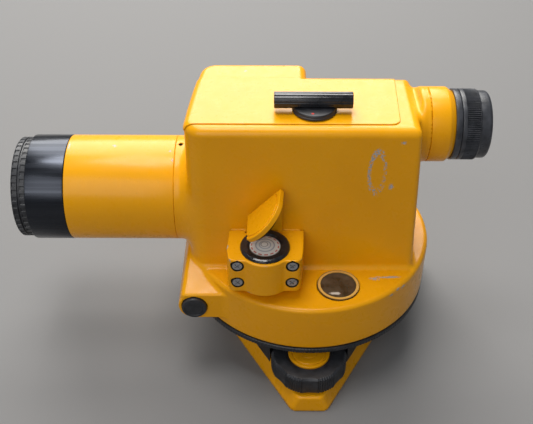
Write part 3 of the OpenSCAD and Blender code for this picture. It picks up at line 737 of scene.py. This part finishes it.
def cover(x, y, z):
    """Thin plate that lies on the roof and wraps over its objective end."""
    over = roof_shape(x, y, z)
    outline = meet(meet(-37.1 + 0.045 * y - x, y - 22.6, 4.0), -16.3 - y)
    lip = meet(meet(over - 0.5, 0.02 - over), outline, 0.25)
    skirt = meet(rect(x, y, -29.7, 47.7, -9.6, 17.7, (1, 1, 1, 1)), slab(z, ROOF - 3, ROOF + 0.5))
    skirt = cut(skirt, rect(x, y, -27.7, 45.7, -7.6, 15.7, (1, 1, 1, 1)))
    return join(meet(lip, 123.8 - z, 0.2), skirt)


casting("cover_plate", "telescope", cover, (-38, -17, 123.2), (57, 23.2, ROOF + 1.2),
        0.3, HOUSING_PAINT, ["top_cover"])


# ---- Levelling base ----


def triangle(x, y, side, corner, r):
    """Triangle with cut corners at +Y and 120 degrees either way."""
    out = None
    for angle, distance in ((30, side), (90, corner), (150, side), (210, corner), (270, side),
                            (330, corner)):
        a = math.radians(angle)
        plane = x * math.cos(a) + y * math.sin(a) - distance
        out = plane if out is None else meet(out, plane, r)
    return out


FEET = [middle(f"foot_spindle_{i}") for i in (1, 2, 3)]
BASE_LO, BASE_HI = span("base_plate")
BASE_SIDE, BASE_CORNER = 43.8, 73.1  # at its underside; the edge slopes in above


def base(x, y, z):
    slope = np.clip((z - 2) / 6.6, 0, 1)
    outline = triangle(x, y, BASE_SIDE - 2.8 * slope, BASE_CORNER - 0.8 * slope, 1.6)
    solid = meet(outline, z - BASE_HI[2], 0.9)
    solid = meet(solid, -z, 0.25)
    dish = meet(triangle(x, y, 36.8, 65, 1.5), 2.2 - z, 0.3)
    solid = cut(solid, cut(dish, np.hypot(x, y) - 17), 0.3)
    solid = cut(solid, np.hypot(x, y) - 11.5)
    for foot in FEET:
        solid = cut(solid, rod(x - foot[0], y - foot[1], z, 1.75, 0.8, 20))
    return solid


casting("base_casting", "base", base, BASE_LO, BASE_HI, 0.7, BASE_PAINT,
        ["base_plate"])


def knurl(count, depth, outer, lo=-1e9, hi=1e9):
    """Ribs round the rim, between two heights."""
    def shape(t, r, h):
        ribs = depth * (0.5 - 0.5 * np.cos(count * t))
        return np.where((r > outer - 1.2 * depth - 0.05) & (h > lo) & (h < hi), r - ribs, r)
    return shape


LOBES = 7
KNOB_R = 18.0
SCALLOP_R, SCALLOP_DEPTH = 20, 0.9


def knob_rim(turn):
    """Scallops, and ribbed lobes between them, round a foot-screw knob."""
    pitch = 2 * math.pi / LOBES

    def shape(t, r, h):
        u = (t - turn + pitch / 2) % pitch - pitch / 2
        far = KNOB_R + SCALLOP_R - SCALLOP_DEPTH
        reach = far * np.cos(u) - np.sqrt(np.maximum(SCALLOP_R ** 2 - (far * np.sin(u)) ** 2, 0))
        reach = np.where(far * np.abs(np.sin(u)) < SCALLOP_R, reach, KNOB_R)
        rim = KNOB_R - np.log1p(np.exp((KNOB_R - reach) * 12)) / 12
        v = u % pitch - pitch / 2
        ribs = 0.42 * (0.5 - 0.5 * np.cos(v * 2 * math.pi / (pitch / 13)))
        rim = rim - np.where(np.abs(v) < pitch * 3.5 / 13, ribs, 0)
        return np.where(r > 14, r - (KNOB_R - rim), r)
    return shape


K0 = span("foot_knob_1")[0][2]
for i, foot in enumerate(FEET):
    at = (foot[0], foot[1], 0)
    turned(f"knob_{i + 1}", f"foot_screw_{i + 1}",
           [(3, K0), (16.9, K0, 0.4), (KNOB_R, K0 + 1, 0.4), (KNOB_R, K0 + 9.1, 0.3),
            (17.1, K0 + 10, 0.3), (11.1, K0 + 10, 0.25), (11.05, K0 + 9.05), (3, K0 + 9.05)],
           "z", at, BLACK, [f"foot_knob_{i + 1}"], 728,
           knob_rim(math.radians(90 + 120 * i)), 3)
    c0 = K0 + 9
    turned(f"cap_{i + 1}", f"foot_screw_{i + 1}",
           [(0, c0), (9.9, c0), (9.9, c0 + 1.2, 0.35), (8.3, c0 + 1.2, 0.1), (8.0, c0 + 0.85),
            (7.7, c0 + 1.2, 0.1), (4.3, c0 + 1.2), (4.15, c0 + 1.05), (4.0, c0 + 1.2), (0, c0 + 1.2)],
           "z", at, BASE_PAINT, [f"foot_cap_{i + 1}"], 128)

R0, R1 = (span("circle_ring")[k][2] for k in (0, 1))
turned("circle_setting_ring", "circle",
       [(50.5, R0), (DRUM_R - 0.5, R0), (DRUM_R, R0 + 0.4), (DRUM_R, R1 - 0.4), (DRUM_R - 0.5, R1),
        (56.7, R1), (56.7, R1 - 0.8), (50.5, R1 - 0.8)], "z", (0, 0, 0), BLACK, ["circle_ring"],
       1440, knurl(240, 0.2, DRUM_R))

# ---- Objective ----

LINE = (0, 0, TUBE_Z)
TUBE_END, SHADE_END, FRONT_END = 112.5, 130.1, 136.6
FRONT_R = 23.7
turned("tube", "telescope",
       [(20.5, 55.3), (22.5, 55.3), (22.5, COLLAR_X), (TUBE_R, COLLAR_X, 0.25), (TUBE_R, TUBE_END, 0.35),
        (22, TUBE_END), (22, 64.3), (20.5, 64.3)], "x", LINE, TUBE_PAINT, ["objective_tube"],
       256)
turned("shade_ring", "telescope",
       [(20.6, 106.5), (21.9, 106.5), (21.9, TUBE_END), (24.9, TUBE_END, 0.5), (24.9, SHADE_END, 0.4),
        (20.6, SHADE_END)], "x", LINE, ANODISED, ["objective_ring"], 256)


def notches(t, r, h):
    """Two rows of notches with a plain line between them."""
    first = (h > 130.5) & (h < 132.55)
    second = (h > 134.05) & (h < 136.0)
    wave = np.clip(0.5 + 1.6 * np.sin(44 * t + np.where(second, math.pi, 0)), 0, 1)
    return np.where((r > 23.4) & (first | second), r - 0.42 * wave, r)


turned("front_ring", "telescope",
       [(20.6, SHADE_END), *((FRONT_R, h) for h in (SHADE_END, 130.45, 130.55, 132.5, 132.6, 132.8)),
        (23.1, 133.1), (23.1, 133.5), *((FRONT_R, h) for h in (133.8, 134.0, 134.1, 135.95, 136.05)),
        (23.2, FRONT_END, 0.2), (21.6, FRONT_END, 0.3), (20.6, 135.1)],
       "x", LINE, BLACK, ["objective_front_ring"], 880, notches, 3)

# ---- Eyepiece ----

SIGHT_LINE = (0, 0, EYE_Z)
GRIP_END = -73.2
GRIP_R = 16
turned("eyepiece_band", "telescope",
       [(12, -62), (15.0, -62, 0.3), (EYE_R, -59.4, 1.6), (EYE_R, SEAM_X, 0.3), (12, SEAM_X)],
       "x", SIGHT_LINE, TUBE_PAINT, ["eyepiece_ring"], 256)
turned("flange", "telescope", [(12, -64.7), (GRIP_R, -64.7, 0.3), (GRIP_R, -62, 0.3), (12, -62)],
       "x", SIGHT_LINE, GRIP, ["eyepiece_flange"], 192)
turned("diopter_grip", "diopter",
       [(12.05, GRIP_END), (15.7, GRIP_END, 0.3), *((GRIP_R, h) for h in (-72.6, -72.5, -66.8, -66.7)),
        (GRIP_R, -64.9, 0.2), (12.05, -64.9)], "x", SIGHT_LINE, GRIP, ["diopter_ring"],
       1100, knurl(110, 0.6, GRIP_R, -72.55, -66.75), 3)
turned("eye_rubber", "diopter",
       [(8, -74.2), (9.5, -77.2, 0.5), (12, -78.2, 1.0), (15.2, -78.2, 2.2), (15.2, GRIP_END, 0.15),
        (8, GRIP_END)],
       "x", SIGHT_LINE, GRIP, ["eyecup"], 192, None, 6)

# ---- Knobs of the far side, and the tangent screw's cap ----

K = span("focus_knob")[0][1]
turned("focus_grip", "focus_drive",
       [(0, K), (6, K, 0.2), (6, K + 0.6), (10.5, K + 0.6), (10.5, K, 0.3), (11.8, K, 0.6),
        (13, K + 1, 0.4), (13, K + 8.4, 0.3), (12.4, K + 9, 0.2), (8, K + 9, 0.4), (8, K + 12, 0.3),
        (3, K + 12), (3, K + 2), (0, K + 2)], "y", (PINION[0], 0, PINION[2]), BLACK, ["focus_knob"],
       576, knurl(72, 0.45, 13), 3)
T = span("tangent_knob")[0][1]
turned("tangent_grip", "tangent_screw",
       [(0, T), (7.6, T, 0.6), (9.5, T + 1, 0.5), (9.5, T + 11.4, 0.3), (9, T + 12, 0.2), (3, T + 12),
        (3, T + 1), (0, T + 1)], "y", (TANGENT_X, 0, TANGENT_Z), BLACK, ["tangent_knob"],
       480, knurl(48, 0.45, 9.5), 3)
CAP_LO, CAP_HI = span("tangent_cap")
CAP_R = (CAP_HI[0] - CAP_LO[0]) / 2
turned("boss_cap", "telescope",
       [(0, CAP_LO[1]), (CAP_R, CAP_LO[1]), (CAP_R, CAP_HI[1], 0.5), (CAP_R - 1.3, CAP_HI[1], 0.1),
        (CAP_R - 1.5, CAP_HI[1] - 0.3), (2.2, CAP_HI[1] - 0.3), (0, CAP_HI[1] - 0.45)],
       "y", (TANGENT_X, 0, TANGENT_Z), BLACK, ["tangent_cap"], 128)

# ---- Peep sight ----

SIGHT = middle("sight_tube")
SIGHT_HALF = 16.85
S0, S1 = (span("sight_base")[k][2] for k in (0, 1))
turned("sight_foot", "telescope",
       [(0, S0), (9.7, S0), (9.65, S0 + 0.7, 0.1), (9.35, S0 + 0.9), (9.3, S0 + 1.5, 0.1),
        (9.0, S1, 0.35), (0, S1)],
       "z", (0, SIGHT[1], 0), BLACK, ["sight_base"], 160)
turned("sight_barrel", "telescope",
       [(2.5, SIGHT[0] - SIGHT_HALF), (3.6, SIGHT[0] - SIGHT_HALF, 0.25),
        (3.6, SIGHT[0] + SIGHT_HALF, 0.25), (2.5, SIGHT[0] + SIGHT_HALF)], "x",
       (0, SIGHT[1], SIGHT[2]), GLOSS, ["sight_tube"], 192, knurl(16, 0.16, 3.6), 3)
turned("sight_dot", "telescope", [(0, S1), (0.65, S1), (0.6, S1 + 0.15, 0.05), (0, S1 + 0.18)],
       "z", (1.1, 18.9, 0), RED, (), 32)

# ---- Circular level and its mirror ----

OUTLINE = [(3.5, LEVEL_BACK), (4.0, 43), (5.1, LEVEL_FRONT), (36.9, LEVEL_FRONT), (38.1, 43),
           (37.3, LEVEL_BACK)]
GUIDE = [(13.3, 70), (13.3, 98.2), (14.6, 98.8), (28.8, 83.6), (30.5, 70)]
COS_45 = 0.7071


def level_body(x, y, z):
    plan = meet(polygon(x, y, OUTLINE), y - LEVEL_FRONT)
    for corner, sign in ((5.1, -1), (36.9, 1)):
        plan = meet(plan, (sign * (x - corner) + (y - LEVEL_FRONT) + 1.6) * COS_45, 0.8)
    nose = meet(np.hypot(x - LEVEL[0], y - LEVEL[1]) - 12.4, 46 - y)
    plan = join(plan, nose, 0.7)
    solid = meet(plan, slab(z, LEVEL_TOP - 18.4, LEVEL_TOP), 0.7)
    guide = meet(polygon(x, z, GUIDE), slab(y, LEVEL_BACK, LEVEL_BACK + 0.7), 0.15)
    solid = join(solid, guide)
    solid = cut(solid, rod(x - LEVEL[0], y - LEVEL[1], z, 9, LEVEL_TOP - 9, 90))
    pocket = meet(meet(slab(x, 21.5, 30.2), slab(y, 31.3, 32.8)), 69.5 - z)
    upper = meet(meet(slab(x, 25, 31.3), slab(y, 31.3, 33.2)), slab(z, 69.5, LEVEL_TOP - 1))
    solid = cut(solid, join(pocket, upper), 0.1)
    solid = cut(solid, rod(x - MIRROR_PIVOT[0], z - MIRROR_PIVOT[2], y, 1.6, 29, 32.6))
    for sx, sz in LEVEL_SCREWS:
        solid = cut(solid, rod(x - sx, z - sz, y, 2.9, LEVEL_FRONT - 1.6, 60), 0.15)
        solid = cut(solid, rod(x - sx, z - sz, y, 1.6, 20, 60))
    return solid


FINE = 0.33
B_LO, B_HI = span("level_block")
casting("level_casting", "telescope", level_body, B_LO, B_HI, FINE, LEVEL_PAINT, ["level_block"])


def level_rim(x, y, z):
    section = [(7.1, -2), (8.9, -2), (8.9, 0), (11.1, 0), (11.1, 0.45), (10.7, 1.15), (9.9, 1.5),
               (7.9, 1.5), (7.1, 1.0)]
    ring = polygon(np.hypot(x - LEVEL[0], y - LEVEL[1]), z - LEVEL_TOP, section)
    return cut(ring, meet(meet(slab(x, 19, 27.5), y - 32.8), LEVEL_TOP - z), 0.1)


L_LO, L_HI = span("level_ring")
casting("level_rim", "telescope", level_rim, L_LO, L_HI, 0.2, GLOSS,
        ["level_ring"])


ARM = [folded(x, z) for x, z in ((26, 84.6), (28.9, 84.4), (29, 75.5), (30.8, 73.2), (30, 71.5),
                                 (28.6, 71), (27.2, 71.5), (26.4, 73.2))]
RIM = (DISC[0] + DISC_R * math.cos(math.radians(168)), DISC[1] + DISC_R * math.sin(math.radians(168)))


def mirror_plate(x, y, z):
    round_part = meet(meet(np.hypot(x - DISC[0], y - DISC[1]) - DISC_R, MIRROR_BACK - y), x + 8.1)
    tip = polygon(x, y, [(-29.3, MIRROR_BACK), (-8.1, MIRROR_BACK), DISC, RIM])
    plan = join(round_part, tip)
    plate = meet(plan, slab(z, MIRROR_TOP - 2.4, MIRROR_TOP), 0.3)
    groove = np.abs(np.hypot(x - DISC[0], y - DISC[1]) - DISC_R + 1.7) - 0.32
    plate = cut(plate, meet(meet(groove, MIRROR_TOP - 0.4 - z), MIRROR_BACK + 1 - y), 0.08)
    arm = meet(polygon(x, z, ARM), slab(y, MIRROR_BACK, MIRROR_BACK + 1.1), 0.15)
    arm = cut(arm, np.hypot(x, z) - 1.6)
    return join(plate, arm, 0.2)


casting("mirror_casting", "level_mirror", mirror_plate, (-29.6, 31.3, -2.7), (2.6, 50.7, 8.5),
        0.25, LEVEL_PAINT, ["mirror_holder"], swung)

# ---- The other CAD parts get small edge roundings ----

REPLACED = {"main_housing", "top_cover", "base_plate", "circle_ring", "objective_tube",
            "objective_ring", "objective_front_ring", "eyepiece_ring", "eyepiece_flange",
            "diopter_ring", "eyecup", "focus_knob", "tangent_knob", "tangent_cap", "sight_base",
            "sight_tube", "level_block", "level_ring", "mirror_holder"}
REPLACED |= {f"foot_{kind}_{i}" for kind in ("knob", "cap") for i in (1, 2, 3)}
for name, node in frame["nodes"].items():
    if name not in REPLACED:
        edge = node.modifiers.new("edge", "BEVEL")
        edge.width = 0.12 * MM
        edge.segments = 2
        edge.limit_method = "ANGLE"
        edge.angle_limit = math.radians(40)

# ---- Floor, light and camera ----

floor = bpy.data.objects.new("floor", bpy.data.meshes.new("floor"))
floor.data.from_pydata([(-3, -3, 0), (3, -3, 0), (3, 3, 0), (-3, 3, 0)], [], [(0, 1, 2, 3)])
floor.data.materials.append(Shader("floor_grey", (0.19, 0.188, 0.187), 0.9).material)
bpy.context.scene.collection.objects.link(floor)


def softbox(name, place, target, size, power, color=(1, 1, 1)):
    light = bpy.data.lights.new(name, "AREA")
    light.size = size
    light.energy = power
    light.color = color
    obj = bpy.data.objects.new(name, light)
    obj.location = place
    obj.rotation_euler = (Vector(target) - Vector(place)).to_track_quat("-Z", "Y").to_euler()
    bpy.context.scene.collection.objects.link(obj)


CENTRE = (0.0, 0.0, 0.07)
softbox("key_window", (0.16, -0.92, 0.98), CENTRE, 1.1, 28, (1.0, 0.98, 0.94))
softbox("overhead_window", (0.15, -0.10, 1.25), CENTRE, 0.5, 8.5, (1.0, 0.99, 0.97))
softbox("fill_front", (0.40, 1.05, 0.85), CENTRE, 0.9, 6.5, (1.0, 0.99, 0.98))
world = bpy.data.worlds.new("studio")
world.use_nodes = True
world.node_tree.nodes["Background"].inputs[0].default_value = (0.80, 0.84, 0.90, 1)
world.node_tree.nodes["Background"].inputs[1].default_value = 0.22
bpy.context.scene.world = world
bpy.context.scene.view_settings.view_transform = "Standard"

TILT = math.radians(39.1)
ROLL = math.radians(0.24)
right = np.array([-1.0, 0, 0])
up = np.array([0, -math.sin(TILT), math.cos(TILT)])
right, up = math.cos(ROLL) * right + math.sin(ROLL) * up, math.cos(ROLL) * up - math.sin(ROLL) * right
back = np.cross(right, up)
camera_data = bpy.data.cameras.new("camera")
camera_data.lens = 54.76
camera_data.sensor_width = 36
camera_data.sensor_fit = "HORIZONTAL"
camera = bpy.data.objects.new("camera", camera_data)
turn = Matrix(np.stack([right, up, back], 1).tolist()).to_4x4()
camera.matrix_world = Matrix.Translation((0.0205, 0.3105, 0.3138)) @ turn
bpy.context.scene.collection.objects.link(camera)
bpy.context.scene.camera = camera
